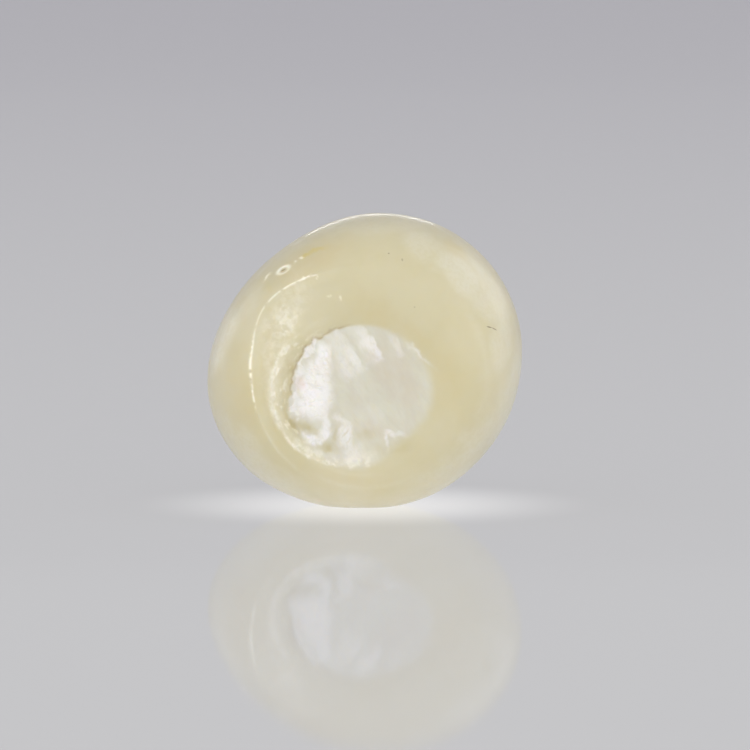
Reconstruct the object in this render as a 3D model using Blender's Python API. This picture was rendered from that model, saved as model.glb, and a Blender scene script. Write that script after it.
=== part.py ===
"""A freshwater pearl: one solid that grew as one piece, standing on the small flat under it.

The pearl is a slightly flattened ball with a lobed outline. Its face looks along -Y and leans
back a little. Two round ledges lie one inside the other on the face, and the inner one encloses
a dished floor on which a low plate of nacre stands.
+X is to the right of the face, +Z is up, and the origin is under the middle of the pearl on the
surface that it rests on.
"""

import math

import bmesh
import bpy
import numpy as np
from mathutils import Matrix

MM = 0.001

# Driving dimensions
MEAN_RADIUS = 3.42 * MM  # of the outline, seen along the pearl's own axis
FRONT_DEPTH = 3.2 * MM  # from the girdle to the crown of the face, before it is flattened
BACK_DEPTH = 2.95 * MM
LEAN = math.radians(5.0)  # the face looks up by this much
FLAT_DEPTH = 0.085 * MM  # what the resting flat takes off the lowest point

# The outline's lobes: how many round the pearl, share of the radius, where the first one points
OUTLINE_LOBES = (
    (2, 0.051, math.radians(27.9)),
    (3, 0.016, math.radians(-44.8)),
    (4, 0.005, math.radians(19.4)),
)
BACK_LOBE = 0.02  # unevenness of the back, as a share of its depth
BACK_LOBES = 2  # how many times it rises round the pearl
BACK_LOBE_AT = math.radians(57.3)  # how far round it starts

# The flattening of the face
FLATTEN_DEPTH = 0.45 * MM
FLATTEN_REACH = 0.95  # share of the outline's radius

# Both ledges
ARC_STEEPNESS = 1.6  # how quickly a ledge fades in from the ends of its arc
CREST_SHARE = 0.5  # the crest's width, as a share of the step's

# The outer ledge: a low crest with a step down on its inner side
OUTER_CENTRE = (-0.045 * MM, -0.353 * MM)
OUTER_RADIUS = 2.532 * MM
OUTER_BULGE = 0.09  # share of the radius, towards OUTER_BULGE_AT
OUTER_BULGE_AT = math.radians(143)
OUTER_BULGE_SPREAD = math.radians(22)
OUTER_STEP = 0.075 * MM
OUTER_STEP_WIDTH = 0.12 * MM
OUTER_CREST = 0.03 * MM
OUTER_ARC = (math.radians(163), math.radians(82))  # its middle and half its reach

# The inner ledge, which is the rim of the dished floor
INNER_CENTRE = (-0.473 * MM, -0.623 * MM)
INNER_RADIUS = 1.69 * MM
INNER_STEP = 0.17 * MM
INNER_STEP_WIDTH = 0.16 * MM
INNER_CREST = 0.03 * MM
INNER_ARC = (math.radians(195), math.radians(105))

# The plate of nacre on the floor
PLATE_CENTRE = (-0.135 * MM, -0.759 * MM)
PLATE_RADIUS = 1.61 * MM
PLATE_RISE = 0.09 * MM
PLATE_EDGE_WIDTH = 0.16 * MM
PLATE_ARC = (math.radians(165), math.radians(95))

# Mesh
SEGMENTS = 84
RINGS = 56
RING_CROWDING = 1.6  # extra rings at a ledge, as a share of the even spacing
RING_CROWDING_SPREAD = math.radians(5)
RING_SAMPLES = 2000  # steps in which the rings' crowding is added up
CUT_TOLERANCE = 1e-7  # a vertex this near the resting flat counts as on it

PEARL_COLOUR = (0.65, 0.57, 0.37, 1.0)
PEARL_ROUGHNESS = 0.28


def clear_scene():
    for thing in list(bpy.data.objects):
        bpy.data.objects.remove(thing)


def smooth_step(value):
    """0 below 0, 1 above 1, and an S-curve between."""
    share = np.clip(value, 0.0, 1.0)
    return share * share * (3.0 - 2.0 * share)


def angle_from(angle, middle):
    """The angle counted from middle, between -pi and pi."""
    return (angle - middle + math.pi) % (2.0 * math.pi) - math.pi


def arc_share(angle, arc):
    """1 along the middle of an arc, falling to 0 at both its ends."""
    middle, reach = arc
    return smooth_step(ARC_STEEPNESS * (1.0 - np.abs(angle_from(angle, middle)) / reach))


def outline_radius(angle):
    """How far the outline is from the pearl's axis in a direction."""
    radius = np.full_like(angle, MEAN_RADIUS)
    for count, share, first in OUTLINE_LOBES:
        radius += MEAN_RADIUS * share * np.cos(count * (angle - first))
    return radius


def outer_radius(angle):
    """The outer ledge's radius, which bulges to the upper left."""
    away = angle_from(angle, OUTER_BULGE_AT) / OUTER_BULGE_SPREAD
    return OUTER_RADIUS * (1.0 + OUTER_BULGE * np.exp(-(away**2)))


def polar_from(centre, x, z):
    """Distance and direction of a point of the face from a centre."""
    across, up = x - centre[0], z - centre[1]
    return np.hypot(across, up), np.arctan2(up, across)


def ledge_relief(inside, radius, angle, arc, step, width, crest):
    """A crest on a ledge's line, and a step down within it that runs out towards the middle.

    inside is the distance inwards from the line, and angle the direction from the ledge's centre.
    """
    share = arc_share(angle, arc) * smooth_step(1.0 - inside / radius)
    bump = crest * np.exp(-((inside / (CREST_SHARE * width)) ** 2))
    return share * (bump - step * smooth_step(inside / width))


def face_relief(x, z):
    """How far the face stands proud of the smooth body at a point."""
    distance, angle = polar_from(OUTER_CENTRE, x, z)
    radius = outer_radius(angle)
    relief = ledge_relief(
        radius - distance, radius, angle, OUTER_ARC, OUTER_STEP, OUTER_STEP_WIDTH, OUTER_CREST
    )
    distance, angle = polar_from(INNER_CENTRE, x, z)
    radius = INNER_RADIUS
    relief += ledge_relief(
        radius - distance, radius, angle, INNER_ARC, INNER_STEP, INNER_STEP_WIDTH, INNER_CREST
    )
    distance, angle = polar_from(PLATE_CENTRE, x, z)
    radius = PLATE_RADIUS
    plate = ledge_relief(
        radius - distance, radius, angle, PLATE_ARC, -PLATE_RISE, PLATE_EDGE_WIDTH, 0.0
    )
    return relief + plate


def crowded_polar_angles():
    """Ring angles from the front pole to the back, closer together at the two ledges."""
    even = np.linspace(0.0, math.pi, RING_SAMPLES)
    density = np.ones_like(even)
    for radius in (INNER_RADIUS, OUTER_RADIUS):
        ledge = math.asin(radius / MEAN_RADIUS)
        density += RING_CROWDING * np.exp(-(((even - ledge) / RING_CROWDING_SPREAD) ** 2))
    total = np.cumsum(density)
    total = (total - total[0]) / (total[-1] - total[0])
    return np.interp(np.linspace(0.0, 1.0, RINGS + 1), total, even)


def face_plan(reach, angle):
    """Where a point of the front lies in plan: its rings follow the ledges, then the outline."""
    knots = (0.0, INNER_RADIUS / MEAN_RADIUS, OUTER_RADIUS / MEAN_RADIUS, 1.0)
    radii = (
        np.zeros_like(angle),
        np.full_like(angle, INNER_RADIUS),
        outer_radius(angle),
        outline_radius(angle),
    )
    centres = (INNER_CENTRE, INNER_CENTRE, OUTER_CENTRE, (0.0, 0.0))
    x = np.zeros_like(angle)
    z = np.zeros_like(angle)
    for low in range(len(knots) - 1):
        span = knots[low + 1] - knots[low]
        share = (reach - knots[low]) / span
        here = (reach > knots[low]) & (reach <= knots[low + 1])
        radius = radii[low] + share * (radii[low + 1] - radii[low])
        centre_x = centres[low][0] + share * (centres[low + 1][0] - centres[low][0])
        centre_z = centres[low][1] + share * (centres[low + 1][1] - centres[low][1])
        x = np.where(here, centre_x + radius * np.cos(angle), x)
        z = np.where(here, centre_z + radius * np.sin(angle), z)
    at_pole = reach <= 0.0
    x = np.where(at_pole, INNER_CENTRE[0], x)
    z = np.where(at_pole, INNER_CENTRE[1], z)
    return x, z


def pearl_points(polar, angle):
    """Points of the pearl, from the angle off the front pole and the direction round it."""
    reach = np.sin(polar)
    front = polar <= 0.5 * math.pi
    front_x, front_z = face_plan(reach, angle)
    back_radius = outline_radius(angle) * reach
    x = np.where(front, front_x, back_radius * np.cos(angle))
    z = np.where(front, front_z, back_radius * np.sin(angle))
    distance, direction = polar_from((0.0, 0.0), x, z)
    share = np.minimum(distance / outline_radius(direction), 1.0)
    dome = np.sqrt(1.0 - share**2)
    pressed = np.clip(1.0 - (share / FLATTEN_REACH) ** 2, 0.0, 1.0) ** 2
    front_height = FRONT_DEPTH * dome - FLATTEN_DEPTH * pressed + face_relief(x, z)
    uneven = 1.0 + BACK_LOBE * np.sin(BACK_LOBES * direction + BACK_LOBE_AT) * share**2
    back_height = BACK_DEPTH * dome * uneven
    y = np.where(front, -front_height, back_height)
    return np.stack([x, y, z], axis=1)


def model_body():
    """The whole pearl before its resting flat, from a unit sphere whose pole becomes the face."""
    body = bmesh.new()
    bmesh.ops.create_uvsphere(body, u_segments=SEGMENTS, v_segments=RINGS, radius=1.0)
    even = np.array([vertex.co for vertex in body.verts], float)
    ring = np.arccos(np.clip(even[:, 2], -1.0, 1.0)) / math.pi * RINGS
    polar = np.interp(ring, np.arange(RINGS + 1), crowded_polar_angles())
    angle = np.arctan2(even[:, 1], even[:, 0])
    for vertex, point in zip(body.verts, pearl_points(polar, angle)):
        vertex.co = point
    bmesh.ops.rotate(body, verts=body.verts, matrix=Matrix.Rotation(-LEAN, 3, "X"))
    return body


def cut_resting_flat(body):
    """Slices off the lowest cap and closes the cut with one flat face."""
    lowest = min(vertex.co.z for vertex in body.verts)
    height = lowest + FLAT_DEPTH
    parts = list(body.verts) + list(body.edges) + list(body.faces)
    bmesh.ops.bisect_plane(
        body,
        geom=parts,
        dist=CUT_TOLERANCE,
        plane_co=(0, 0, height),
        plane_no=(0, 0, -1),
        clear_outer=True,
    )
    rim = [edge for edge in body.edges if edge.is_boundary]
    bmesh.ops.holes_fill(body, edges=rim)
    bmesh.ops.recalc_face_normals(body, faces=body.faces)
    return height


def stand_at_origin(body, height):
    """Moves the pearl so that its box stands centred on the origin, on z = 0."""
    points = np.array([vertex.co for vertex in body.verts], float)
    middle = (points.min(axis=0) + points.max(axis=0)) / 2.0
    bmesh.ops.translate(body, verts=body.verts, vec=(-middle[0], -middle[1], -height))


def pearl_material():
    material = bpy.data.materials.new("pearl_nacre")
    material.use_nodes = True
    surface = material.node_tree.nodes["Principled BSDF"]
    surface.inputs["Base Color"].default_value = PEARL_COLOUR
    surface.inputs["Roughness"].default_value = PEARL_ROUGHNESS
    surface.inputs["Metallic"].default_value = 0.0
    return material


def build_pearl():
    body = model_body()
    height = cut_resting_flat(body)
    stand_at_origin(body, height)
    mesh = bpy.data.meshes.new("pearl")
    body.to_mesh(mesh)
    body.free()
    mesh.shade_smooth()
    mesh.materials.append(pearl_material())
    pearl = bpy.data.objects.new("pearl", mesh)
    collection = bpy.data.collections.new("freshwater_pearl")
    bpy.context.scene.collection.children.link(collection)
    collection.objects.link(pearl)
    return pearl


clear_scene()
build_pearl()
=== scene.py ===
# Freshwater pearl on a pale studio floor: cream nacre, a ledged face and a white plate of nacre
import math

import bpy
import numpy as np
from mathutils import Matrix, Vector


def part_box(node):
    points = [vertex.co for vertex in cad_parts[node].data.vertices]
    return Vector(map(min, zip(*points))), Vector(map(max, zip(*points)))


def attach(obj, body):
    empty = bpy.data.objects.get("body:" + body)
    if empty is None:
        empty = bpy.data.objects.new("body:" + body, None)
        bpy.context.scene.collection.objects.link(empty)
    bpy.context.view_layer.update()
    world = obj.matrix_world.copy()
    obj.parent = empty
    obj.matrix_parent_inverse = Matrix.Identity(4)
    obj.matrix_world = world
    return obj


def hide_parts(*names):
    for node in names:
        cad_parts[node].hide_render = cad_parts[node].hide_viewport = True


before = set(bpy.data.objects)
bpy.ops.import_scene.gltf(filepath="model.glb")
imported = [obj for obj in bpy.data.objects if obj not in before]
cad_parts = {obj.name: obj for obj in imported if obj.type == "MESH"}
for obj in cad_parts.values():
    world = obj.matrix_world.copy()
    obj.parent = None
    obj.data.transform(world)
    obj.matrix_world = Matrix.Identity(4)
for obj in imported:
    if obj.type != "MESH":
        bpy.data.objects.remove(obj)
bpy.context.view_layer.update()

mm = 0.001
cadLow, cadHigh = (np.array(corner, float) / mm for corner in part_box("pearl"))
print("packed pearl loaded")


# helpers for shapes, all in millimetres on whole arrays

# 0 below 0, 1 above 1, three squares less two cubes between
def smoothStep(value):
    share = np.clip(value, 0.0, 1.0)
    return share * share * (3.0 - 2.0 * share)


# angle counted from a middle direction, wrapped to half a turn on each side
def turnFrom(angle, middle):
    return (angle - middle + math.pi) % (2.0 * math.pi) - math.pi


# 1 along the middle of an arc given in degrees, smooth fall to 0 at both its ends
def arcShare(angle, arc):
    middle, reach = math.radians(arc["middle"]), math.radians(arc["reach"])
    return smoothStep(arc["steepness"] * (1.0 - np.abs(turnFrom(angle, middle)) / reach))


# strength round a ring, read between a few knots of degrees and share
def knotShare(angle, knots):
    degrees, shares = np.array(knots, float).T
    return np.interp(np.degrees(angle) % 360.0, degrees, shares)


# cells on each side of the noise lattice, and each noise's first seed: every layer takes the next one
latticeCells = 48
seeds = {
    "wander": 11, "beads": 15, "flicker": 17, "tear": 21, "grain": 31, "warpAcross": 41, "warpUp": 51,
    "cracks": 45, "creases": 48, "flakes": 47, "flecks": 61, "speckles": 66, "wrinkles": 71, "folds": 75,
    "swell": 81, "bodyGrain": 91, "clouds": 101, "milk": 105, "ripples": 111, "rippleFade": 121,
}


# random heights from -1 to 1 on a cubic lattice, blended between its corners by smooth steps
def softNoise(points, size, seed):
    count = latticeCells
    heights = np.random.default_rng(seed).uniform(-1.0, 1.0, (count, count, count))
    cell = points / size
    low = np.floor(cell).astype(int)
    share = smoothStep(cell - low)
    total = np.zeros(len(points))
    for corner in np.ndindex(2, 2, 2):
        weight = np.prod(np.where(corner, share, 1.0 - share), axis=1)
        index = (low + corner) % count
        total += weight * heights[index[:, 0], index[:, 1], index[:, 2]]
    return total


# softNoise layers added up, each half as large and half as high as the one before
def layeredNoise(points, size, layers, seed):
    total = np.zeros(len(points))
    for layer in range(layers):
        total += softNoise(points, size / 2**layer, seed + layer) / 2**layer
    return total


# thin lines where a noise crosses zero, as a bell curve of its height
def crackle(points, size, seed, width):
    return np.exp(-((layeredNoise(points, size, 2, seed) / width) ** 2))


# distance and direction of face points from a centre
def polarFrom(centre, x, z):
    across, up = x - centre[0], z - centre[1]
    return np.hypot(across, up), np.arctan2(up, across)


# the body: an ellipsoid with a lobed outline and a pressed face

body = {
    "meanRadius": 3.42,  # of the outline, seen along the pearl's own axis
    "frontDepth": 3.2,
    "backDepth": 2.95,
    "lean": 5.0,  # degrees that the face looks up
    "flatDepth": 0.085,  # taken off the lowest point, where the pearl rests
    "lobes": ((2, 0.051, 27.9), (3, 0.016, -44.8), (4, 0.005, 19.4)),  # count, share, first at
    "backLobe": 0.02,
    "backLobes": 2,
    "backLobeTurn": 1.0,  # radians
    "flattenDepth": 0.45,
    "flattenReach": 0.95,
    "swell": 0.010,  # height of the slow unevenness all over
    "swellSize": 1.3,
    "grain": 0.0015,  # height of the finer unevenness
    "grainSize": 0.60,
    "faceCalm": 0.06,  # share of the radius at the girdle over which relief dies away
    "backCalm": 0.15,
}


# mean radius, plus a cosine of each lobe count round the pearl
def outlineRadius(angle):
    radius = np.full_like(angle, body["meanRadius"])
    for count, share, first in body["lobes"]:
        radius += body["meanRadius"] * share * np.cos(count * (angle - math.radians(first)))
    return radius


# the outer ledge: a thin crest with a step down on its inner side

outerLedge = {
    "centre": (-0.045, -0.353),
    "radius": 2.532,
    "bulge": 0.09,
    "bulgeAt": 143.0,
    "bulgeSpread": 22.0,
    "step": 0.075,
    "stepWidth": 0.30,
    "crest": 0.014,
    "crestWidth": 0.028,
    "wobble": 0.012,
    "wobbleSize": 0.5,  # also of the inner ledge's
    # beadSize sets the breaks in the outer ledge's painted highlight line
    "beadSize": 0.09,  # of the breaks in its bright line
    "arc": {"middle": 163.0, "reach": 82.0, "steepness": 1.6},
    # how wide its painted highlight line is (mm), and how bright: degrees, value
    "lineWidth": ((110, 0.018), (152, 0.020), (164, 0.032), (178, 0.032), (184, 0.025), (200, 0.020)),
    "paintedHighlight": ((115, 0.0), (119, 0.80), (134, 0.90), (143, 0.50), (156, 0.30), (163, 0.85), (178, 0.95),
              (180.5, 0.30), (182, 0.10), (184, 0.85), (191, 0.70), (198, 0.0)),
}


# circle that bulges to the upper left by a bell curve
def outerRadius(angle):
    away = turnFrom(angle, math.radians(outerLedge["bulgeAt"])) / math.radians(outerLedge["bulgeSpread"])
    return outerLedge["radius"] * (1.0 + outerLedge["bulge"] * np.exp(-(away**2)))


# the inner ledge: the rim of the dished floor

innerLedge = {
    "centre": (-0.473, -0.623),
    "radius": 1.69,
    "step": 0.10,
    "stepWidth": 0.28,
    "crest": 0.014,
    "crestWidth": 0.060,
    "wobble": 0.026,
    # flickerSize sets the unevenness of the inner rim's painted highlight
    "flickerSize": 0.10,  # of the unevenness of its bright rim
    "arc": {"middle": 195.0, "reach": 105.0, "steepness": 1.6},
    # how bright its painted rim highlight is, and how wide (mm): degrees, value
    "paintedHighlight": ((136, 0.0), (144, 0.45), (158, 0.80), (168, 0.60), (182, 0.55), (196, 0.68), (209, 0.72),
              (212, 0.25), (216, 0.85), (230, 0.72), (236, 0.32), (256, 0.15), (270, 0.0)),
    "paintedHighlightWidth": ((136, 0.035), (160, 0.035), (172, 0.075), (206, 0.070), (214, 0.032), (232, 0.034),
                   (262, 0.045)),
}


# bell-shaped crest on the ledge's line, and a step down inside it that runs out to the middle
def ledgeRelief(ledge, inside, radius, angle):
    share = arcShare(angle, ledge["arc"]) * smoothStep(1.0 - inside / radius)
    crest = ledge["crest"] * np.exp(-((inside / ledge["crestWidth"]) ** 2))
    return share * (crest - ledge["step"] * smoothStep(inside / ledge["stepWidth"]))


# the plate of white nacre on the floor, torn at its upper left, soft at its right

plate = {
    "centre": (-0.135, -0.759),
    "radius": 1.61,
    "pinch": 0.17,  # share of the radius lost towards pinchAt
    "pinchAt": -48.0,
    "pinchSpread": 32.0,
    "rise": 0.07,
    "edgeWidth": 0.12,
    "arc": {"middle": 160.0, "reach": 95.0, "steepness": 1.6},
    "tear": 0.075,  # how far the torn edge wanders
    "tearSize": 0.17,
    "tornArc": {"middle": 165.0, "reach": 75.0, "steepness": 2.0},
    "softEdge": 0.14,
    "crispEdge": 0.035,
    "crispArc": {"middle": 135.0, "reach": 100.0, "steepness": 1.6},
    "grainTilt": -58.0,  # degrees, the way the nacre's grain runs
    "grainAcross": 0.11,
    "grainAlong": 0.42,
    "grainHeight": 0.007,
    "grainShare": 0.08,  # how much the grain mottles the white
    "shingleRise": 0.016,
    "blobPower": 4.5,  # how steep the blobs' sides are
    "seamArc": {"middle": 138.0, "reach": 46.0, "steepness": 3.0},
    "seamWidth": 0.022,
    "seamDepth": 0.011,
    "seamShare": 0.85,
    "crackSize": 0.18,
    "crackWidth": 0.10,
    "crackShare": 0.34,  # how much a crack dims the white
    "crackDepth": 0.007,
    "creaseSize": 0.10,  # finer creases between the cracks
    "creaseShare": 0.20,
    "creaseWidth": 0.16,
    "flakeSize": 0.17,
    "flakeShare": 0.62,  # strength of the loose flakes along the torn edge
    "flakeReach": 0.34,  # how far in they lie
    "warp": 0.042,  # how far the strokes' edges wander
    "warpSize": 0.15,
}

# shingles of nacre on the plate, their white partly a painted reflection of the left light, each with a
# sharp side to the upper right and a soft one behind:
# across, up, half length, half width (mm), tilt (degrees), strength
plateShingles = {
    "upperLeft": (-0.62, 0.42, 0.34, 0.22, -50.0, 0.36),
    "inner": (-0.34, 0.14, 0.40, 0.12, -55.0, 0.64),
    "innerLow": (-0.48, -0.04, 0.34, 0.13, -62.0, 0.50),
    "upper": (0.06, 0.41, 0.44, 0.12, -57.0, 0.86),
    "upperRight": (0.66, 0.44, 0.30, 0.08, -66.0, 0.40),
    "middle": (-0.20, -0.52, 0.34, 0.16, -58.0, 0.12),
    "lowMiddle": (0.10, -1.10, 0.34, 0.20, -50.0, 0.14),
    "lowStreak": (-0.50, -1.30, 0.22, 0.07, -37.0, 0.45),
}

# the white mass at the left, and blobs and bars on the torn lower edge, white nacre partly brightened by
# painted reflection, same order of values
plateBlobs = {
    "leftUpper": (-0.97, 0.10, 0.38, 0.18, -100.0, 0.90),
    "leftMiddle": (-1.11, -0.30, 0.34, 0.29, -100.0, 0.95),
    "leftLower": (-1.19, -0.76, 0.46, 0.39, -98.0, 1.00),
    "wisp": (-0.56, -1.28, 0.24, 0.07, -38.0, 0.55),
    "hookLeft": (-1.30, -1.70, 0.23, 0.10, -22.0, 0.92),
    "hookRight": (-1.00, -1.64, 0.20, 0.12, 48.0, 0.94),
    "hookNeck": (-0.92, -1.33, 0.24, 0.09, 98.0, 0.76),
    "lowPatch": (-0.30, -2.02, 0.26, 0.20, 20.0, 0.45),
    "lowBlob": (-0.49, -1.62, 0.25, 0.15, 84.0, 0.72),
    "lowBlobFoot": (-0.36, -1.90, 0.27, 0.13, -50.0, 0.50),
    "barShort": (0.50, -1.55, 0.14, 0.050, -8.0, 0.75),
    "barLong": (0.80, -1.61, 0.22, 0.054, -12.0, 0.42),
    "barStem": (0.44, -1.77, 0.22, 0.036, 92.0, 0.80),
}

# golden gaps where the cream shows through, same order of values
plateGaps = {
    "upper": (-1.42, -1.41, 0.38, 0.11, -22.0, 0.92),
    "lower": (-0.88, -1.87, 0.25, 0.13, 12.0, 0.85),
    "between": (-0.70, -1.58, 0.18, 0.055, 78.0, 0.60),
    "blobCrack": (-0.50, -1.58, 0.10, 0.022, 52.0, 0.50),
    "blobCrackLow": (-0.43, -1.72, 0.07, 0.020, 30.0, 0.40),
    "right": (0.03, -1.60, 0.28, 0.13, -8.0, 0.50),
    "lowRight": (0.45, -1.88, 0.60, 0.16, 12.0, 0.45),
    "leftNotch": (-1.72, -0.10, 0.07, 0.16, 10.0, 0.60),
}


# radius less a bell-shaped pinch to the lower right
def plateRadius(angle):
    away = turnFrom(angle, math.radians(plate["pinchAt"])) / math.radians(plate["pinchSpread"])
    return plate["radius"] * (1.0 - plate["pinch"] * np.exp(-(away**2)))


# face points in a stroke's own directions, as shares of its half length and half width
def strokePlace(x, z, stroke):
    turn = math.radians(stroke[4])
    along = (x - stroke[0]) * math.cos(turn) + (z - stroke[1]) * math.sin(turn)
    aside = (z - stroke[1]) * math.cos(turn) - (x - stroke[0]) * math.sin(turn)
    return along / stroke[2], aside / stroke[3]


# flat-topped bell along and across a turned stroke, with steeper sides at a higher power
def strokeShare(x, z, stroke, power=3):
    along, aside = strokePlace(x, z, stroke)
    return stroke[5] * np.exp(-np.abs(along) ** power - np.abs(aside) ** power)


# the strongest of several strokes at each point
def strongest(x, z, strokes, power=3):
    return np.max([strokeShare(x, z, stroke, power) for stroke in strokes.values()], axis=0)


# steep on one side and at the far end, twice as wide and soft on the other side and at the near end
def shingleShare(x, z, stroke):
    along, aside = strokePlace(x, z, stroke)
    across = np.where(aside > 0.0, aside**10, (0.70 * aside) ** 2)
    down = np.where(along > 0.0, along**7, along**2)
    return stroke[5] * np.exp(-down - across)


# small marks on the face

marks = {
    # the ringed pit; its rim and its dip are as wide as these shares of its half sizes
    "pit": {"at": (-1.868, 2.089), "half": (0.140, 0.064), "tilt": 30.0, "depth": 0.035, "rim": 0.022,
            "rimWidth": 0.36, "dipWidth": 0.75},
    # short ridges, each also carrying a painted highlight: across, up, half length, half width (mm), tilt
    # (degrees), strength
    "ridges": (
        (-2.215, 1.925, 0.12, 0.022, 54.0, 0.80),
        (-1.60, 2.270, 0.06, 0.030, 40.0, 0.60),
        (-1.44, 2.390, 0.045, 0.030, 50.0, 0.75),
        (-1.34, 1.950, 0.11, 0.020, 27.0, 0.70),
        (-1.17, 1.990, 0.07, 0.018, 0.0, 0.55),
        (-1.09, 1.930, 0.05, 0.018, -80.0, 0.50),
        (-0.84, 1.495, 0.045, 0.022, 20.0, 0.40),
        (-0.60, 1.475, 0.055, 0.022, 80.0, 0.50),
    ),
    "ridgeHeight": 0.014,
    "wrinkles": {"height": 0.010, "size": 0.13, "foldHeight": 0.006, "foldSize": 0.20, "foldWidth": 0.14},
    "groove": {"width": 0.45, "fade": 0.2, "milk": 0.30},  # between the inner ledge and the plate
    "flecks": {"height": 0.008, "size": 0.085, "along": 0.55},
    # the pale band of speckles below the plate: its middle direction and half its reach in degrees
    "speckles": {"size": 0.095, "height": 0.008, "middle": 248.0, "reach": 42.0, "width": 0.38},
    # a pale hair at the plate's right, and painted shade that darkens the dish's middle, in the ridges'
    # order of values
    "hair": (1.18, 0.20, 0.42, 0.046, -45.0, 0.80),
    "centreShade": (0.40, 0.25, 2.60, 1.85, 84.0, 1.0),
    # how strong the inner rim's painted highlight is, and how pale the flecks, the speckles and the wrinkles
    # are
    "paleShares": (0.80, 0.52, 0.60, 0.80),
    # dark specks, a scratch, and painted shade in the pit's middle, in the ridges' order of values
    "specks": (
        (-1.875, 2.085, 0.060, 0.016, 26.0, 0.45),
        (0.486, 2.447, 0.022, 0.018, 0.0, 0.45),
        (0.788, 2.309, 0.022, 0.034, 10.0, 0.35),
        (1.062, 1.249, 0.020, 0.020, 0.0, 0.25),
        (2.730, 0.806, 0.060, 0.014, -14.0, 0.75),
        (2.845, 0.766, 0.070, 0.013, -28.0, 0.60),
    ),
}

# pale wrinkled nacre on the shoulder between the two ledges, its brightness partly a painted reflection of
# the left light:
# across, up, half length, half width (mm), tilt (degrees), strength
wrinklePatches = {
    "bright": (-1.80, 0.98, 0.42, 0.28, 62.0, 0.94),
    "upper": (-1.62, 1.50, 0.44, 0.32, 45.0, 0.44),
    "outside": (-2.05, 0.95, 0.50, 0.20, 66.0, 0.62),
    "lower": (-2.02, 0.35, 0.60, 0.30, 80.0, 0.50),
    "lowest": (-2.12, -0.55, 0.60, 0.22, 96.0, 0.24),
}

# pale patches round the rim, partly milky nacre and partly painted reflections of the side lights and
# painted light that brightens the rim, measured along the surface from the face's middle:
# across, up, half length, half width (mm), tilt (degrees), strength
milkAndReflectionPatches = {
    "topRight": (1.43, 3.08, 0.53, 0.55, -15.0, 0.45),
    "upperRightShoulder": (2.33, 2.28, 0.89, 0.55, -42.0, 0.60),
    "upperRight": (3.35, 1.57, 0.87, 0.70, -58.0, 0.42),
    "right": (3.56, 0.54, 0.72, 0.55, -84.0, 0.42),
    "left": (-4.42, 0.82, 1.15, 0.80, 76.0, 0.60),
    "lowerRight": (3.30, -2.15, 1.30, 0.80, 56.0, 0.42),
    "rightRim": (4.20, -1.35, 2.00, 0.80, 72.0, 0.42),
    "topLeftRim": (-2.61, 3.73, 1.80, 0.75, 35.0, 0.13),
    "topRim": (0.00, 4.15, 1.80, 0.65, 0.0, 0.26),
    "upperRightRim": (3.36, 2.35, 1.30, 0.50, -55.0, 0.34),
    "lowerRightRim": (2.50, -3.35, 1.60, 0.90, 37.0, 0.34),
    "lowerLeftRim": (-3.25, -2.70, 1.80, 0.85, -50.0, 0.44),
}
# how far the patches' edges wander, and where they end and over what they fade, in half sizes
milkRagged = {"height": 0.24, "size": 0.42, "edge": 1.25, "fade": 0.75}

# faint pale lines along the outer ledge, partly growth lines and partly a painted highlight that carries on
# its crest line:
# knots of degrees and share, distance inside it, width (mm), strength
growthAndHighlightLines = {
    "lowerLeft": (((196, 0.0), (208, 1.0), (232, 0.8), (250, 0.0)), 0.02, 0.045, 0.28),
    "bottom": (((232, 0.0), (255, 1.0), (285, 0.6), (315, 0.0)), 0.10, 0.060, 0.30),
    "bottomInner": (((225, 0.0), (245, 1.0), (265, 0.7), (290, 0.0)), 0.38, 0.050, 0.25),
    "right": (((-1, 0.7), (20, 1.0), (45, 0.0), (300, 0.0), (330, 0.6), (361, 0.7)), -0.20, 0.10, 0.20),
}

# faint pink on the plate, in the strokes' order of values
blushPatches = {
    "right": (0.62, -0.25, 0.75, 0.42, -62.0, 0.35),
    "left": (-1.50, -0.45, 0.16, 0.14, -60.0, 0.80),
    "low": (0.07, -1.45, 0.45, 0.18, -8.0, 0.30),
}

# golden tinges, same order of values
goldPatches = {
    "plateRim": (0.55, 0.85, 1.10, 0.32, -35.0, 0.42),
    "plateRight": (1.75, -0.30, 0.80, 0.35, -75.0, 0.35),
    "upperLeft": (-1.20, 2.30, 0.90, 0.34, 33.0, 0.58),
    "milkBreak": (1.98, 2.58, 0.32, 0.18, -48.0, 0.45),
    "left": (-2.80, -0.60, 0.90, 0.35, 95.0, 0.30),
    "bottom": (-0.60, -2.60, 1.20, 0.25, -12.0, 0.25),
}

# stronger yellow streaks beside the pit, same order of values
goldStreaks = {
    "long": (-1.20, 2.50, 0.30, 0.046, 21.0, 0.62),
    "start": (-1.34, 2.44, 0.12, 0.052, 24.0, 0.80),
    "beside": (-2.20, 1.72, 0.16, 0.060, -50.0, 0.18),
}


# plan of the front: rings run from the plate's centre to its edge, the outer ledge and the outline
def facePlan(reach, angle):
    knots = (0.0, plate["radius"] / body["meanRadius"], outerLedge["radius"] / body["meanRadius"], 1.0)
    edge = np.full_like(angle, plate["radius"])
    radii = (np.zeros_like(angle), edge, outerRadius(angle), outlineRadius(angle))
    centres = (plate["centre"], plate["centre"], outerLedge["centre"], (0.0, 0.0))
    x = np.full_like(angle, plate["centre"][0])
    z = np.full_like(angle, plate["centre"][1])
    for low in range(len(knots) - 1):
        share = (reach - knots[low]) / (knots[low + 1] - knots[low])
        here = (reach > knots[low]) & (reach <= knots[low + 1])
        radius = radii[low] + share * (radii[low + 1] - radii[low])
        middle = [centres[low][k] + share * (centres[low + 1][k] - centres[low][k]) for k in (0, 1)]
        x = np.where(here, middle[0] + radius * np.cos(angle), x)
        z = np.where(here, middle[1] + radius * np.sin(angle), z)
    return x, z


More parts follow.
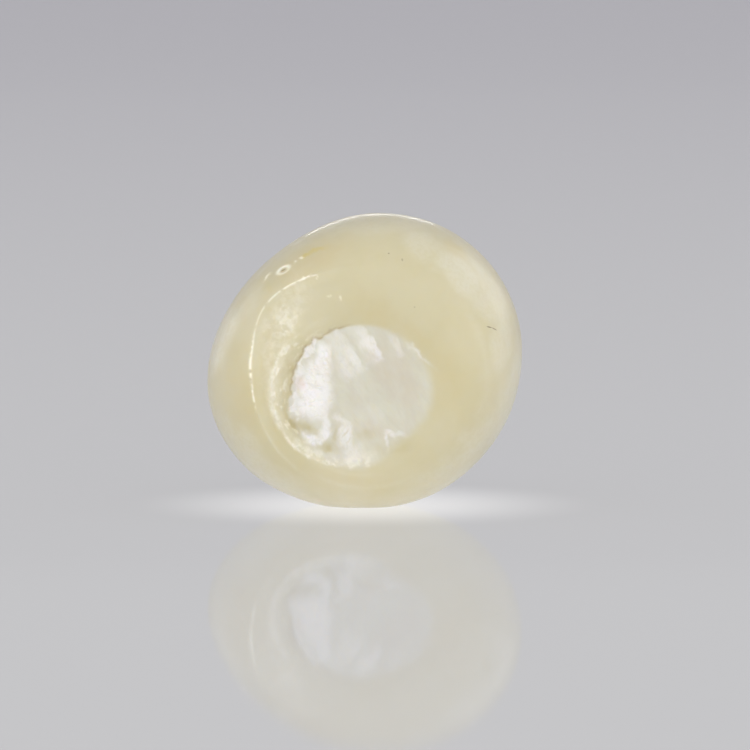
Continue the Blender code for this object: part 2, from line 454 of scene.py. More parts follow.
# the face at plan points: heights in mm, as the ledges' steps plus the plate, its strokes and the ridges,
# less cracks, seam and pit; and masks from 0 to 1 that say where each tone of the nacre lies
def faceDetail(x, z):
    flatPoints = np.stack([x, np.zeros_like(x), z], axis=1)
    wander = layeredNoise(flatPoints, outerLedge["wobbleSize"], 2, seeds["wander"])

    distance, angle = polarFrom(outerLedge["centre"], x, z)
    outerAngle = angle
    radius = outerRadius(angle) + outerLedge["wobble"] * wander
    outerInside = radius - distance
    relief = ledgeRelief(outerLedge, outerInside, radius, angle)
    beads = smoothStep(0.85 + 0.9 * layeredNoise(flatPoints, outerLedge["beadSize"], 2, seeds["beads"]))
    outerWidth = knotShare(angle, outerLedge["lineWidth"])
    # painted highlight along the outer ledge's crest
    outerHighlight = np.exp(-((outerInside / outerWidth) ** 2)) * knotShare(angle, outerLedge["paintedHighlight"]) * beads

    distance, angle = polarFrom(innerLedge["centre"], x, z)
    radius = innerLedge["radius"] + innerLedge["wobble"] * wander
    innerInside = radius - distance
    innerShare = arcShare(angle, innerLedge["arc"])
    relief += ledgeRelief(innerLedge, innerInside, radius, angle)
    # painted highlight along the inner ledge's rim
    innerWidth = knotShare(angle, innerLedge["paintedHighlightWidth"])
    innerHighlight = np.exp(-((innerInside / innerWidth) ** 2)) * knotShare(angle, innerLedge["paintedHighlight"])
    flicker = layeredNoise(flatPoints, innerLedge["flickerSize"], 2, seeds["flicker"])
    innerHighlight *= 0.55 + 0.45 * smoothStep(0.7 + 1.2 * flicker)

    # the plate's edge is torn by noise along one arc, and crisp or soft by direction
    distance, angle = polarFrom(plate["centre"], x, z)
    torn = arcShare(angle, plate["tornArc"])
    tear = plate["tear"] * layeredNoise(flatPoints, plate["tearSize"], 2, seeds["tear"]) * torn
    radius = plateRadius(angle)
    plateInside = radius + tear - distance
    crisp = arcShare(angle, plate["crispArc"])
    edge = plate["softEdge"] + (plate["crispEdge"] - plate["softEdge"]) * crisp
    plateMask = smoothStep(0.5 + plateInside / (2.0 * edge))
    plateShare = arcShare(angle, plate["arc"]) * smoothStep(1.0 - np.maximum(plateInside, 0.0) / radius)
    relief += plateShare * plate["rise"] * smoothStep(0.5 + plateInside / (2.0 * plate["edgeWidth"]))

    # grain: a noise stretched the way it runs
    stretch = (0.0, 0.0, plate["grainAlong"], plate["grainAcross"], plate["grainTilt"])
    grainPlace = np.stack([*strokePlace(x, z, stretch), np.zeros_like(x)], axis=1)
    grain = layeredNoise(grainPlace, 1.0, 3, seeds["grain"])
    relief += plate["grainHeight"] * grain * plateMask

    # shingles, blobs and golden gaps, with edges that wander; their glow is white nacre with painted
    # reflection
    warpX = x + plate["warp"] * layeredNoise(flatPoints, plate["warpSize"], 3, seeds["warpAcross"])
    warpZ = z + plate["warp"] * layeredNoise(flatPoints, plate["warpSize"], 3, seeds["warpUp"])
    light = np.zeros_like(x)
    for stroke in plateShingles.values():
        light = np.maximum(light, shingleShare(warpX, warpZ, stroke))
    light = np.maximum(light, strongest(warpX, warpZ, plateBlobs, plate["blobPower"]))
    flakeNoise = layeredNoise(flatPoints, plate["flakeSize"], 2, seeds["flakes"])
    edgeBand = torn * smoothStep((plateInside + 0.05) / 0.05)
    edgeBand *= smoothStep((plate["flakeReach"] - plateInside) / 0.22)
    light = np.maximum(light, plate["flakeShare"] * edgeBand * smoothStep(5.0 * (flakeNoise - 0.12)))
    gap = strongest(warpX, warpZ, plateGaps)
    cracks = crackle(flatPoints, plate["crackSize"], seeds["cracks"], plate["crackWidth"])
    creased = crackle(flatPoints, plate["creaseSize"], seeds["creases"], plate["creaseWidth"])
    hair = strokeShare(warpX, warpZ, marks["hair"])
    plateMask = np.maximum(plateMask, hair)
    light = np.maximum(light, hair)
    dimmed = plate["crackShare"] * cracks + plate["creaseShare"] * creased
    # glow: white nacre with a painted reflection of the left light
    glow = light * (1.0 + plate["grainShare"] * grain - dimmed)
    glow = np.clip(glow * (1.0 - gap), 0.0, 1.0) * plateMask
    relief -= plate["crackDepth"] * cracks * light * plateMask
    relief += plate["shingleRise"] * glow

    # the groove between the inner ledge and the plate, in the ledge's own directions:
    # flecks drawn out along it at the left, fine speckles below
    around = angle * innerLedge["radius"] * marks["flecks"]["along"]
    ringPlace = np.stack([innerInside, around, np.zeros_like(x)], axis=1)
    fleckNoise = layeredNoise(ringPlace, marks["flecks"]["size"], 2, seeds["flecks"])
    groove = innerShare * smoothStep(innerInside / 0.10)
    groove *= smoothStep((marks["groove"]["width"] - innerInside) / marks["groove"]["fade"])
    fleck = smoothStep(2.5 * (fleckNoise - 0.12)) * groove * (1.0 - plateMask)
    relief += marks["flecks"]["height"] * fleck
    speckles = marks["speckles"]
    speckNoise = layeredNoise(flatPoints, speckles["size"], 3, seeds["speckles"])
    away = np.abs(turnFrom(angle, math.radians(speckles["middle"]))) / math.radians(speckles["reach"])
    lowBand = smoothStep(3.0 * (1.0 - away)) * smoothStep((innerInside + 0.05 + 0.07 * flakeNoise) / 0.09)
    lowBand *= smoothStep((speckles["width"] - innerInside) / 0.25)
    speckled = lowBand * (0.26 + 0.74 * smoothStep(0.40 + 1.1 * speckNoise)) * (1.0 - 0.6 * gap)
    relief += speckles["height"] * speckNoise * lowBand

    # a thin painted shadow just outside the plate's torn edge, also pressed in as a shallow dip
    edgeShadow = plate["seamShare"] * np.exp(-(((plateInside + plate["seamWidth"]) / plate["seamWidth"]) ** 2))
    edgeShadow *= arcShare(polarFrom(plate["centre"], x, z)[1], plate["seamArc"])
    relief -= plate["seamDepth"] * edgeShadow

    # pale wrinkled nacre on the shoulder between the two ledges, its brightness partly a painted reflection
    # of the left light
    wrinkle = marks["wrinkles"]
    zone = strongest(warpX, warpZ, wrinklePatches)
    creases = layeredNoise(flatPoints, wrinkle["size"], 3, seeds["wrinkles"])
    folds = crackle(flatPoints, wrinkle["foldSize"], seeds["folds"], wrinkle["foldWidth"])
    relief += (wrinkle["height"] * creases + wrinkle["foldHeight"] * folds) * zone
    wrinkled = zone * np.clip(0.38 + 0.45 * smoothStep(0.50 + 1.2 * creases) + 0.40 * folds, 0.0, 1.0)

    # the little ringed pit, and the short ridges, both also painted with highlights
    pit = marks["pit"]
    along, aside = strokePlace(x, z, (*pit["at"], *pit["half"], pit["tilt"]))
    ring = np.hypot(along, aside)
    pitRim = np.exp(-(((ring - 1.0) / pit["rimWidth"]) ** 2))
    # painted highlight on the pit's rim, brighter along its top
    pitHighlightTop = 0.75 + 0.25 * np.clip(aside / np.maximum(ring, 0.1), -1.0, 1.0)  # brighter along its top
    relief += pit["rim"] * pitRim - pit["depth"] * np.exp(-((ring / pit["dipWidth"]) ** 2))
    ridges = np.zeros_like(x)
    for ridge in marks["ridges"]:
        share = strokeShare(warpX, warpZ, ridge)
        relief += marks["ridgeHeight"] * share
        ridges = np.maximum(ridges, share)

    # milky groove and pale lines along the outer ledge, the lines partly a painted highlight that carries on
    # its crest line
    milk = marks["groove"]["milk"] * groove
    for lineAngle, lineInside, lineWidth, lineShare in growthAndHighlightLines.values():
        line = np.exp(-(((outerInside - lineInside) / lineWidth) ** 2)) * knotShare(outerAngle, lineAngle)
        milk = np.maximum(milk, lineShare * line)

    rimHighlight, fleckPale, specklePale, wrinklePale = marks["paleShares"]
    # pale flecks, speckles and wrinkles, with the inner rim's painted highlight and the wrinkles' painted
    # reflection
    paleAndHighlight = rimHighlight * innerHighlight + fleckPale * fleck + specklePale * speckled + wrinklePale * wrinkled
    gap *= 0.78 + 0.22 * np.clip(flakeNoise, -1.0, 1.0)
    plateMask = plateMask * (1.0 - 0.9 * gap)
    masks = {
        "plateMask": plateMask,
        "glow": glow,
        "gold": np.clip(np.maximum(gap, 0.05 * groove) * (1.0 - 0.8 * speckled), 0.0, 1.0),
        # painted highlights: the outer ledge's line, the pit's rim and the short ridges
        "paintedHighlight": np.clip(outerHighlight + pitRim * pitHighlightTop + ridges, 0.0, 1.0),
        "paleAndHighlight": np.clip(paleAndHighlight, 0.0, 1.0),
        "edgeShadow": edgeShadow,
        "milk": milk,
        "tinge": strongest(x, z, goldPatches),
        "honey": strongest(warpX, warpZ, goldStreaks),
        "blush": strongest(x, z, blushPatches),
        "centreShade": strokeShare(x, z, marks["centreShade"]),
    }
    return relief, masks


# milky patches and painted reflections laid on the surface unrolled from the face's middle: each a smooth
# fall of the distance from its middle in half sizes, shifted by noise, and the strongest counts
def milkAndReflectionCover(across, up, points):
    ragged = milkRagged["height"] * layeredNoise(points, milkRagged["size"], 3, seeds["milk"])
    cover = np.zeros_like(across)
    for patch in milkAndReflectionPatches.values():
        inside = milkRagged["edge"] + ragged - np.hypot(*strokePlace(across, up, patch))
        cover = np.maximum(cover, patch[5] * smoothStep(inside / milkRagged["fade"]))
    return cover


# the back: faint growth ripples, a few shallow dimples, milky and golden clouds

back = {
    "rippleHeight": 0.005,
    "ripplePitch": 0.52,
    "rippleWander": 0.34,
    "wanderSize": 1.1,
    "fadeSize": 1.6,  # of the stretches where the ripples show
    "rippleTone": 0.30,
    "dimpleDepth": 0.020,
    # across, up, half length, half width (mm), tilt (degrees), strength
    "dimples": (
        (0.90, 1.15, 0.11, 0.07, 25.0, 1.0),
        (-1.35, -0.55, 0.08, 0.06, -30.0, 0.8),
        (-0.25, 1.90, 0.06, 0.05, 0.0, 0.7),
        (1.70, -1.20, 0.14, 0.06, -40.0, 0.8),
        (-2.10, 0.90, 0.07, 0.05, 60.0, 0.7),
    ),
    "reach": 0.8,  # over this distance behind the girdle the face's patches give way to the back's
    "cloudSize": 2.2,
    "milk": 0.60,
    "tinge": 0.50,
}


# a cosine of the wandering distance from the back's middle, faded by noise, less a bell for each dimple
def backDetail(x, z):
    flatPoints = np.stack([x, np.zeros_like(x), z], axis=1)
    wander = layeredNoise(flatPoints, back["wanderSize"], 2, seeds["ripples"])
    distance = np.hypot(x, z) + back["rippleWander"] * wander
    wave = np.cos(2.0 * math.pi * distance / back["ripplePitch"])
    strength = smoothStep(0.5 + layeredNoise(flatPoints, back["fadeSize"], 2, seeds["rippleFade"]))
    relief = back["rippleHeight"] * wave * strength
    for dimple in back["dimples"]:
        relief -= back["dimpleDepth"] * strokeShare(x, z, dimple)
    return relief, back["rippleTone"] * strength * smoothStep(2.0 * wave - 1.0)


# pearl surface from the angle off the face's pole and the direction round it:
# half ellipsoids in front and behind, the face pressed in by a squared bump, then relief and grain
def pearlSurface(polar, angle):
    reach = np.sin(polar)
    front = polar <= 0.5 * math.pi
    faceX, faceZ = facePlan(reach, angle)
    backRadius = outlineRadius(angle) * reach
    x = np.where(front, faceX, backRadius * np.cos(angle))
    z = np.where(front, faceZ, backRadius * np.sin(angle))
    distance, direction = polarFrom((0.0, 0.0), x, z)
    share = np.minimum(distance / outlineRadius(direction), 1.0)
    dome = np.sqrt(1.0 - share**2)
    pressed = np.clip(1.0 - (share / body["flattenReach"]) ** 2, 0.0, 1.0) ** 2
    relief, masks = faceDetail(x, z)
    calm = smoothStep((1.0 - share) / body["faceCalm"])
    frontHeight = body["frontDepth"] * dome - body["flattenDepth"] * pressed + relief * calm
    uneven = 1.0 + body["backLobe"] * np.sin(body["backLobes"] * direction + body["backLobeTurn"]) * share**2
    ripple, rippleTone = backDetail(x, z)
    calm = smoothStep((1.0 - share) / body["backCalm"])
    y = np.where(front, -frontHeight, body["backDepth"] * dome * uneven + ripple * calm)
    points = np.stack([x, y, z], axis=1)
    for name in masks:
        if name not in ("milk", "tinge"):
            masks[name] = np.where(front, masks[name], 0.0)
    masks["behind"] = np.where(front, 0.0, 1.0)
    masks["across"], masks["up"] = x, z
    unrolled = body["meanRadius"] * np.where(front, np.arcsin(share), math.pi - np.arcsin(share))
    cover = milkAndReflectionCover(unrolled * np.cos(direction), unrolled * np.sin(direction), points)
    outward = points / np.linalg.norm(points, axis=1)[:, None]
    swell = body["swell"] * layeredNoise(points, body["swellSize"], 2, seeds["swell"])
    grain = body["grain"] * layeredNoise(points, body["grainSize"], 2, seeds["bodyGrain"])
    behind = smoothStep(y / back["reach"])
    clouds = layeredNoise(points, back["cloudSize"], 3, seeds["clouds"])
    backMilk = behind * np.maximum(back["milk"] * smoothStep(1.6 * clouds), rippleTone)
    backTinge = behind * back["tinge"] * smoothStep(-2.0 * clouds)
    # milk: milky nacre and back clouds, with the rim patches' painted reflections and painted light
    masks["milk"] = np.maximum(np.maximum(masks["milk"] * (1.0 - behind), cover), backMilk)
    masks["tinge"] = np.maximum(masks["tinge"] * (1.0 - behind), backTinge)
    return points + outward * (swell + grain)[:, None], masks


# points turned about the left-right axis, so that the face looks up
def leanPoints(points):
    lean = math.radians(body["lean"])
    x, y, z = points.T
    leanedY = y * math.cos(lean) + z * math.sin(lean)
    leanedZ = z * math.cos(lean) - y * math.sin(lean)
    return np.stack([x, leanedY, leanedZ], axis=1)


# the mesh: how many segments round and rings, and where they crowd, in degrees

mesh = {
    "segments": 440,
    "rings": 226,
    "facingCrowd": 1.1,  # extra rings on the face
    "facingAt": 38.0,  # off the face's pole
    "facingSpread": 17.0,
    "backShare": 0.5,  # of the face's density
    "backFrom": 85.0,  # off the face's pole
    "backOver": 25.0,
    "sideCrowd": 0.8,  # extra segments on the marked side
    "sideAt": 160.0,
    "sideSpread": 60.0,
    "fineSteps": 4000,
}


# even steps of a running total of the wanted density, read back from fine steps
def crowded(start, end, count, density):
    fine = np.linspace(start, end, mesh["fineSteps"])
    total = np.cumsum(density(fine))
    total = (total - total[0]) / (total[-1] - total[0])
    return np.interp(np.linspace(0.0, 1.0, count), total, fine)


# one, plus a bell curve on the face, less a smooth step behind the girdle
def ringDensity(polar):
    away = (polar - math.radians(mesh["facingAt"])) / math.radians(mesh["facingSpread"])
    behind = smoothStep((polar - math.radians(mesh["backFrom"])) / math.radians(mesh["backOver"]))
    return 1.0 + mesh["facingCrowd"] * np.exp(-(away**2)) - (1.0 - mesh["backShare"]) * behind


# one, plus a bell curve on the marked side
def segmentDensity(angle):
    away = turnFrom(angle, math.radians(mesh["sideAt"])) / math.radians(mesh["sideSpread"])
    return 1.0 + mesh["sideCrowd"] * np.exp(-(away**2))


# closed grid: one point at each pole, rings between, quads round and triangles at the poles;
# its lowest points are pressed to one level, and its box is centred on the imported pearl's
def buildPearl():
    polar = crowded(0.0, math.pi, mesh["rings"] + 1, ringDensity)
    start = math.radians(mesh["sideAt"]) - math.pi
    angle = crowded(start, start + 2.0 * math.pi, mesh["segments"] + 1, segmentDensity)[:-1]
    inner = polar[1:-1]
    grid = np.stack(np.meshgrid(inner, angle, indexing="ij"), axis=-1).reshape(-1, 2)
    grid = np.concatenate([[[0.0, 0.0]], grid, [[math.pi, 0.0]]])
    points, masks = pearlSurface(grid[:, 0], grid[:, 1])
    points = leanPoints(points)
    level = points[:, 2].min() + body["flatDepth"]
    points[:, 2] = np.maximum(points[:, 2], level)
    middle = (points.min(axis=0) + points.max(axis=0)) / 2.0
    place = (cadLow + cadHigh) / 2.0 - middle
    place[2] = cadLow[2] - level
    points += place

    rows, columns = len(inner), mesh["segments"]
    index = 1 + np.arange(rows * columns).reshape(rows, columns)
    beside = np.roll(index, -1, axis=1)
    quads = np.stack([index[:-1], index[1:], beside[1:], beside[:-1]], axis=-1).reshape(-1, 4)
    frontFan = np.stack([np.zeros(columns, int), index[0], beside[0]], axis=-1)
    backFan = np.stack([np.full(columns, rows * columns + 1), beside[-1], index[-1]], axis=-1)
    pearl = meshObject("pearlNacre", points * mm, quads, np.concatenate([frontFan, backFan]))
    for name, values in masks.items():
        layer = pearl.data.attributes.new(name, "FLOAT", "POINT")
        layer.data.foreach_set("value", values.astype(np.float32))
    return pearl, place


# a mesh object from points, quads and triangles, all smooth
def meshObject(name, points, quads, triangles):
    data = bpy.data.meshes.new(name)
    corners = np.concatenate([quads.ravel(), triangles.ravel()]).astype(np.int32)
    starts = np.concatenate([4 * np.arange(len(quads)), 4 * len(quads) + 3 * np.arange(len(triangles))])
    data.vertices.add(len(points))
    data.vertices.foreach_set("co", points.ravel().astype(np.float32))
    data.loops.add(len(corners))
    data.loops.foreach_set("vertex_index", corners)
    data.polygons.add(len(starts))
    data.polygons.foreach_set("loop_start", starts.astype(np.int32))
    data.update(calc_edges=True)
    data.validate()
    data.shade_smooth()
    piece = bpy.data.objects.new(name, data)
    bpy.context.scene.collection.objects.link(piece)
    return piece


# helpers for materials

# linear colour from red, green and blue as a paint program gives them, 0 to 255
def paint(red, green, blue):
    parts = np.array([red, green, blue]) / 255.0
    linear = np.where(parts <= 0.04045, parts / 12.92, ((parts + 0.055) / 1.055) ** 2.4)
    return (*linear.tolist(), 1.0)


# a node with its settings and inputs; an input given as a socket is linked
def addNode(tree, kind, inputs=None, **settings):
    node = tree.nodes.new(kind)
    for name, value in settings.items():
        setattr(node, name, value)
    for name, value in (inputs or {}).items():
        if isinstance(value, bpy.types.NodeSocket):
            tree.links.new(value, node.inputs[name])
        else:
            node.inputs[name].default_value = value
    return node


# the product of two values
def productNode(tree, first, second):
    return addNode(tree, "ShaderNodeMath", {0: first, 1: second}, operation="MULTIPLY").outputs[0]


# two colours mixed by a share
def mixNode(tree, share, first, second, blend="MIX"):
    inputs = {0: share, 6: first, 7: second}
    return addNode(tree, "ShaderNodeMix", inputs, data_type="RGBA", blend_type=blend).outputs[2]


# noise of a size in mm
def noiseNode(tree, place, size, detail=2.0, roughness=0.5, distortion=0.0):
    inputs = {"Vector": place, "Scale": 1.0 / (size * mm), "Detail": detail, "Roughness": roughness,
              "Distortion": distortion}
    return addNode(tree, "ShaderNodeTexNoise", inputs).outputs["Fac"]


# a value carried from one range to another by a smooth step
def rangeNode(tree, value, low, high, newLow=0.0, newHigh=1.0):
    inputs = {"Value": value, "From Min": low, "From Max": high, "To Min": newLow, "To Max": newHigh}
    return addNode(tree, "ShaderNodeMapRange", inputs, interpolation_type="SMOOTHSTEP").outputs["Result"]


# noise drawn out along a direction of the face: length and width in mm, tilt in degrees
def grainNode(tree, place, length, width, tilt, distortion=0.0):
    inputs = {"Vector": place, "Rotation": (0.0, 0.0, math.radians(tilt)), "Scale": (length, width, 1.0)}
    local = addNode(tree, "ShaderNodeMapping", inputs, vector_type="TEXTURE").outputs[0]
    inputs = {"Vector": local, "Scale": 1.0, "Detail": 3.0, "Roughness": 0.6, "Distortion": distortion}
    return addNode(tree, "ShaderNodeTexNoise", inputs).outputs["Fac"]


# a mask that the pearl's mesh carries
def maskNode(tree, name):
    return addNode(tree, "ShaderNodeAttribute", attribute_name=name).outputs["Fac"]


# 1 inside a turned ellipse of the face and 0 outside it
def speckNode(tree, place, speck):
    across, up, length, width, tilt, strength = speck
    inputs = {"Vector": place, "Location": (across, up, 0.0), "Rotation": (0.0, 0.0, math.radians(tilt)),
              "Scale": (length, width, 1.0)}
    local = addNode(tree, "ShaderNodeMapping", inputs, vector_type="TEXTURE").outputs[0]
    away = addNode(tree, "ShaderNodeVectorMath", {0: local}, operation="LENGTH").outputs["Value"]
    return rangeNode(tree, away, 0.5, 1.3, strength, 0.0)


# nacre: cream all over, milky and golden patches, a white lustrous plate, with painted highlights,
# reflections and shade

nacre = {
    "cream": paint(208, 201, 173),
    "creamDeep": paint(204, 196, 163),
    # milky nacre, also the colour of the painted reflections and painted light round the rim
    "milk": paint(220, 217, 202),
    "gold": paint(204, 190, 148),
    "olive": paint(190, 179, 134),
    "plateDim": paint(209, 205, 192),
    "plateMid": paint(213, 211, 199),
    "plateWhiteAndSheen": paint(237, 235, 236),
    "rose": paint(252, 242, 240),
    # colour of the painted shadow beside the plate's torn edge
    "edgeShadow": paint(184, 170, 140),
    # pale nacre, also the colour of the inner rim's painted highlight and the wrinkles' painted reflection
    "paleAndHighlight": paint(238, 234, 222),
    # colour of the painted highlights
    "paintedHighlight": paint(252, 248, 232),
    "dark": paint(96, 84, 60),
    "honey": paint(208, 192, 122),
    # painted shade over the face's middle, multiplied in
    "centreShade": paint(244, 244, 240),  # multiplied in
    "roughness": (0.29, 0.42),
    "plateRoughness": 0.28,
    "coat": 0.35,
    "coatRoughness": 0.06,
    "ior": 1.53,
    "scatterDepth": 2.0,  # mm
    "scatterTint": (1.0, 0.86, 0.60),
    "slowSize": 1.4,  # of the slow change of cream, mm
    "mottleSize": 0.32,
    "mottleHeight": 0.006,
    "fineSize": 0.10,
    "fibre": (0.22, 0.075),  # length and width of the plate's fibres, mm
    "streak": (0.80, 0.38),  # and of its slow streaks
}


# cream, then each tone laid over it by its mask, painted highlights, reflections and shade among them, most
# masks thinned by noise; light scatters inside,
# and a thin clear coat lies outside
def nacreMaterial():
    material = bpy.data.materials.new("nacre")
    material.use_nodes = True
    tree = material.node_tree
    surface = tree.nodes["Principled BSDF"]
    place = addNode(tree, "ShaderNodeTexCoord").outputs["Object"]

    parts = {"X": maskNode(tree, "across"), "Y": maskNode(tree, "up"), "Z": maskNode(tree, "behind")}
    facePlace = addNode(tree, "ShaderNodeCombineXYZ", parts).outputs[0]

    slow = noiseNode(tree, place, nacre["slowSize"], 3.0, 0.55)
    mottle = noiseNode(tree, place, nacre["mottleSize"], 2.0, 0.5, 0.3)
    fine = noiseNode(tree, place, nacre["fineSize"], 3.0, 0.6)
    fibre = grainNode(tree, facePlace, *nacre["fibre"], plate["grainTilt"], 0.8)

    colour = mixNode(tree, rangeNode(tree, slow, 0.35, 0.70), nacre["cream"], nacre["creamDeep"])
    tinge = productNode(tree, maskNode(tree, "tinge"), rangeNode(tree, mottle, 0.2, 0.7, 0.5, 1.0))
    colour = mixNode(tree, tinge, colour, nacre["gold"])
    colour = mixNode(tree, maskNode(tree, "honey"), colour, nacre["honey"])
    # milky nacre and painted reflections round the rim
    milk = productNode(tree, maskNode(tree, "milk"), rangeNode(tree, fine, 0.35, 0.60, 0.62, 1.0))
    colour = mixNode(tree, milk, colour, nacre["milk"])

    streak = grainNode(tree, facePlace, *nacre["streak"], plate["grainTilt"])
    # the plate's glow: white nacre lit up by a painted reflection of the left light
    glow = productNode(tree, maskNode(tree, "glow"), rangeNode(tree, fibre, 0.36, 0.56, 0.86, 1.0))
    plateColour = mixNode(tree, rangeNode(tree, streak, 0.35, 0.65), nacre["plateDim"], nacre["plateMid"])
    plateColour = mixNode(tree, glow, plateColour, nacre["plateWhiteAndSheen"])
    plateColour = mixNode(tree, maskNode(tree, "blush"), plateColour, nacre["rose"], "MULTIPLY")
    colour = mixNode(tree, maskNode(tree, "gold"), colour, nacre["olive"])
    colour = mixNode(tree, maskNode(tree, "plateMask"), colour, plateColour)
    # painted shadow beside the plate's torn edge
    colour = mixNode(tree, maskNode(tree, "edgeShadow"), colour, nacre["edgeShadow"])
    # pale nacre and painted highlight on the inner rim
    paleAndHighlight = productNode(tree, maskNode(tree, "paleAndHighlight"), rangeNode(tree, fine, 0.38, 0.58, 0.68, 1.0))
    colour = mixNode(tree, paleAndHighlight, colour, nacre["paleAndHighlight"])
    # painted highlights laid over the colour
    colour = mixNode(tree, maskNode(tree, "paintedHighlight"), colour, nacre["paintedHighlight"])
    # painted shade darkening the face's middle
    colour = mixNode(tree, maskNode(tree, "centreShade"), colour, nacre["centreShade"], "MULTIPLY")
    for speck in marks["specks"]:
        colour = mixNode(tree, speckNode(tree, facePlace, speck), colour, nacre["dark"])
    tree.links.new(colour, surface.inputs["Base Color"])

    rough = rangeNode(tree, mottle, 0.3, 0.7, *nacre["roughness"])
    inputs = {0: maskNode(tree, "plateMask"), 2: rough, 3: nacre["plateRoughness"]}
    rough = addNode(tree, "ShaderNodeMix", inputs, data_type="FLOAT").outputs[0]
    tree.links.new(rough, surface.inputs["Roughness"])

    inputs = {"Height": mottle, "Strength": 0.5, "Distance": nacre["mottleHeight"] * mm}
    bump = addNode(tree, "ShaderNodeBump", inputs)
    tree.links.new(bump.outputs["Normal"], surface.inputs["Normal"])

    surface.inputs["IOR"].default_value = nacre["ior"]
    surface.inputs["Coat Weight"].default_value = nacre["coat"]
    surface.inputs["Coat Roughness"].default_value = nacre["coatRoughness"]
    surface.inputs["Subsurface Weight"].default_value = 1.0
    surface.inputs["Subsurface Radius"].default_value = nacre["scatterTint"]
    surface.inputs["Subsurface Scale"].default_value = nacre["scatterDepth"] * mm
    return material


pearl, pearlPlace = buildPearl()
pearl.data.materials.append(nacreMaterial())
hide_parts("pearl")
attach(pearl, "root")
print("pearl made:", len(pearl.data.vertices), "points")


# the studio: a pale floor that sweeps up behind, soft light from all round and five panels

studio = {
    "floorColour": paint(140, 140, 141),
    # the floor turns to a darker far colour towards the wall, as painted shade where the studio light falls
    # off
    "farShadeColour": paint(124, 123, 127),
    "glow": 1.67,  # light that the floor itself gives
    "pool": 1.85,  # extra glow under the pearl
    "poolReach": 5.5,
    "farAt": (-20.0, 230.0),  # mm along the floor over which it turns to its far colour
    "gloss": 0.33,
    "glossRoughness": 0.04,
    "halfWidth": 600.0,
    "front": -500.0,
    "bendStart": 260.0,
    "bendRadius": 160.0,
    "bendSteps": 24,
    "top": 600.0,
    "worldStrength": 0.74,
}

# places and sizes in mm, power in watts; a panel with "alone" lights the pearl only and is mirrored in it,
# and one without lights the floor too and is mirrored nowhere
lights = {
    "leftPanel": {"at": (-130.0, 110.0, 40.0), "size": (70.0, 120.0), "power": 0.014, "alone": True},
    "rightPanel": {"at": (130.0, 110.0, 90.0), "size": (90.0, 120.0), "power": 0.024, "alone": True},
    "backStrip": {"at": (-6.0, 230.0, 60.0), "size": (72.0, 5.0), "power": 0.011, "alone": True},
    "lowLeftPanel": {"at": (-120.0, -190.0, 14.0), "size": (200.0, 28.0), "power": 0.157, "alone": False},
    "lowRightPanel": {"at": (120.0, -190.0, 14.0), "size": (200.0, 28.0), "power": 0.202, "alone": False},
}


# floor profile: flat, a quarter circle up, then a wall, carried straight across; matt and glowing, with
# a share of gloss over both
def buildSweep():
    bend = np.linspace(0.0, 0.5 * math.pi, studio["bendSteps"])
    bendY = studio["bendStart"] + studio["bendRadius"] * np.sin(bend)
    bendZ = studio["bendRadius"] * (1.0 - np.cos(bend))
    y = np.concatenate([[studio["front"]], bendY, [bendY[-1]]])
    z = np.concatenate([[0.0], bendZ, [studio["top"]]])
    x = np.array([-studio["halfWidth"], studio["halfWidth"]])
    points = np.stack([np.repeat(x, len(y)), np.tile(y, 2), np.tile(z, 2)], axis=1)
    row = np.arange(len(y) - 1)
    quads = np.stack([row, row + len(y), row + len(y) + 1, row + 1], axis=1)
    sweep = meshObject("studioFloor", points * mm, quads, np.zeros((0, 3), int))
    material = bpy.data.materials.new("paleFloor")
    material.use_nodes = True
    tree = material.node_tree
    tree.nodes.remove(tree.nodes["Principled BSDF"])
    place = addNode(tree, "ShaderNodeTexCoord").outputs["Object"]
    depth = addNode(tree, "ShaderNodeSeparateXYZ", {"Vector": place}).outputs["Y"]
    # painted shade: darker towards the far wall
    far = rangeNode(tree, depth, studio["farAt"][0] * mm, studio["farAt"][1] * mm)
    colour = mixNode(tree, far, studio["floorColour"], studio["farShadeColour"])
    matt = addNode(tree, "ShaderNodeBsdfDiffuse", {"Color": colour})
    away = addNode(tree, "ShaderNodeVectorMath", {0: place}, operation="LENGTH").outputs["Value"]
    poolGlow = studio["glow"] + studio["pool"]
    strength = rangeNode(tree, away, 0.0, studio["poolReach"] * mm, poolGlow, studio["glow"])
    glow = addNode(tree, "ShaderNodeEmission", {"Color": colour, "Strength": strength})
    lit = addNode(tree, "ShaderNodeAddShader", {0: matt.outputs[0], 1: glow.outputs[0]})
    gloss = addNode(tree, "ShaderNodeBsdfGlossy", {"Roughness": studio["glossRoughness"]})
    inputs = {0: studio["gloss"], 1: lit.outputs[0], 2: gloss.outputs[0]}
    mixed = addNode(tree, "ShaderNodeMixShader", inputs)
    tree.links.new(mixed.outputs[0], tree.nodes["Material Output"].inputs["Surface"])
    sweep.data.materials.append(material)


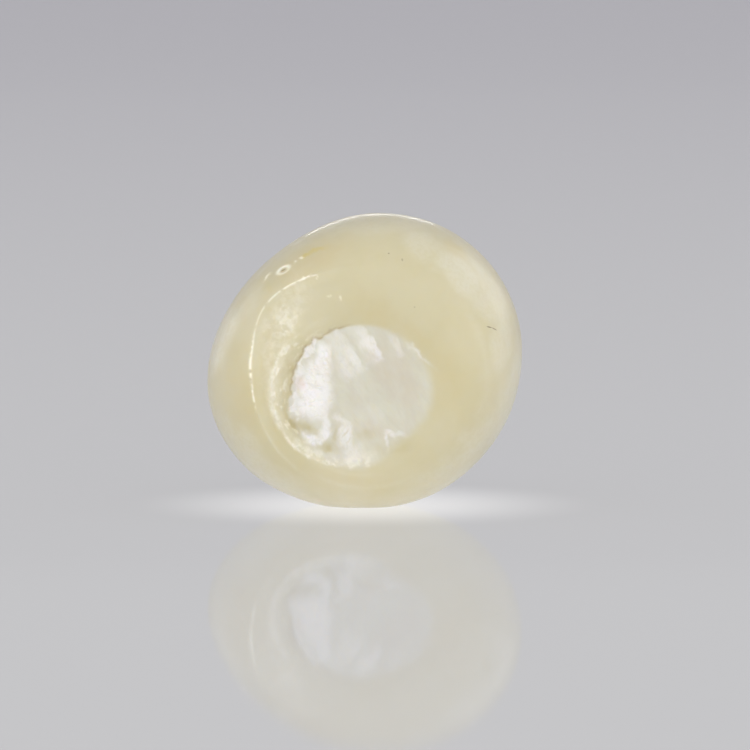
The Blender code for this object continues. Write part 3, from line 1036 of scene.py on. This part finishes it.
# a rectangular soft panel that faces the middle of the pearl
def addPanel(name, values):
    lamp = bpy.data.lights.new(name, "AREA")
    lamp.shape = "RECTANGLE"
    lamp.size, lamp.size_y = (side * mm for side in values["size"])
    lamp.energy = values["power"]
    panel = bpy.data.objects.new(name, lamp)
    panel.location = Vector(values["at"]) * mm
    panel.visible_glossy = values["alone"]
    if values["alone"]:
        panel.light_linking.receiver_collection = pearlAlone
    middle = Vector((0.0, 0.0, (cadLow[2] + cadHigh[2]) / 2.0 * mm))
    panel.rotation_euler = (middle - panel.location).to_track_quat("-Z", "Y").to_euler()
    bpy.context.scene.collection.objects.link(panel)


# white light of one strength from every side
def lightWorld():
    world = bpy.data.worlds.new("softDome")
    world.use_nodes = True
    tree = world.node_tree
    sky = tree.nodes.get("Background") or tree.nodes.new("ShaderNodeBackground")
    end = tree.nodes.get("World Output") or tree.nodes.new("ShaderNodeOutputWorld")
    tree.links.new(sky.outputs[0], end.inputs["Surface"])
    sky.inputs["Color"].default_value = (1.0, 1.0, 1.0, 1.0)
    sky.inputs["Strength"].default_value = studio["worldStrength"]
    bpy.context.scene.world = world


pearlAlone = bpy.data.collections.new("pearlAlone")
pearlAlone.objects.link(pearl)
buildSweep()
lightWorld()
for panelName, panelValues in lights.items():
    addPanel(panelName, panelValues)
print("studio made")


# the camera looks straight at the face from far off, so that the pearl hardly narrows

view = {
    "pixels": 750,  # width and height of the picture
    "pearlAt": (367.0, 363.3),  # pixel of the pearl's own middle
    "pixelsPerMm": 44.43,
    "distance": 250.0,
    "sensor": 36.0,
    "clip": (10.0, 10000.0),
}


# the lens shows the wanted pixels a mm at its distance, and the camera stands aside by as much as the pearl
# is off the middle of the picture, then leans with the pearl
def addCamera():
    data = bpy.data.cameras.new("camera")
    data.sensor_width = view["sensor"]
    data.lens = view["distance"] / (view["pixels"] / view["pixelsPerMm"]) * view["sensor"]
    data.clip_start, data.clip_end = (reach * mm for reach in view["clip"])
    right = (view["pixels"] / 2.0 - view["pearlAt"][0]) / view["pixelsPerMm"]
    down = (view["pixels"] / 2.0 - view["pearlAt"][1]) / view["pixelsPerMm"]
    spot = leanPoints(np.array([[right, -view["distance"], -down]]))[0] + pearlPlace
    camera = bpy.data.objects.new("camera", data)
    camera.location = Vector(spot) * mm
    camera.rotation_euler = (math.radians(90.0 - body["lean"]), 0.0, 0.0)
    bpy.context.scene.collection.objects.link(camera)
    bpy.context.scene.camera = camera


addCamera()
bpy.context.scene.view_settings.view_transform = "Standard"
print("camera placed")
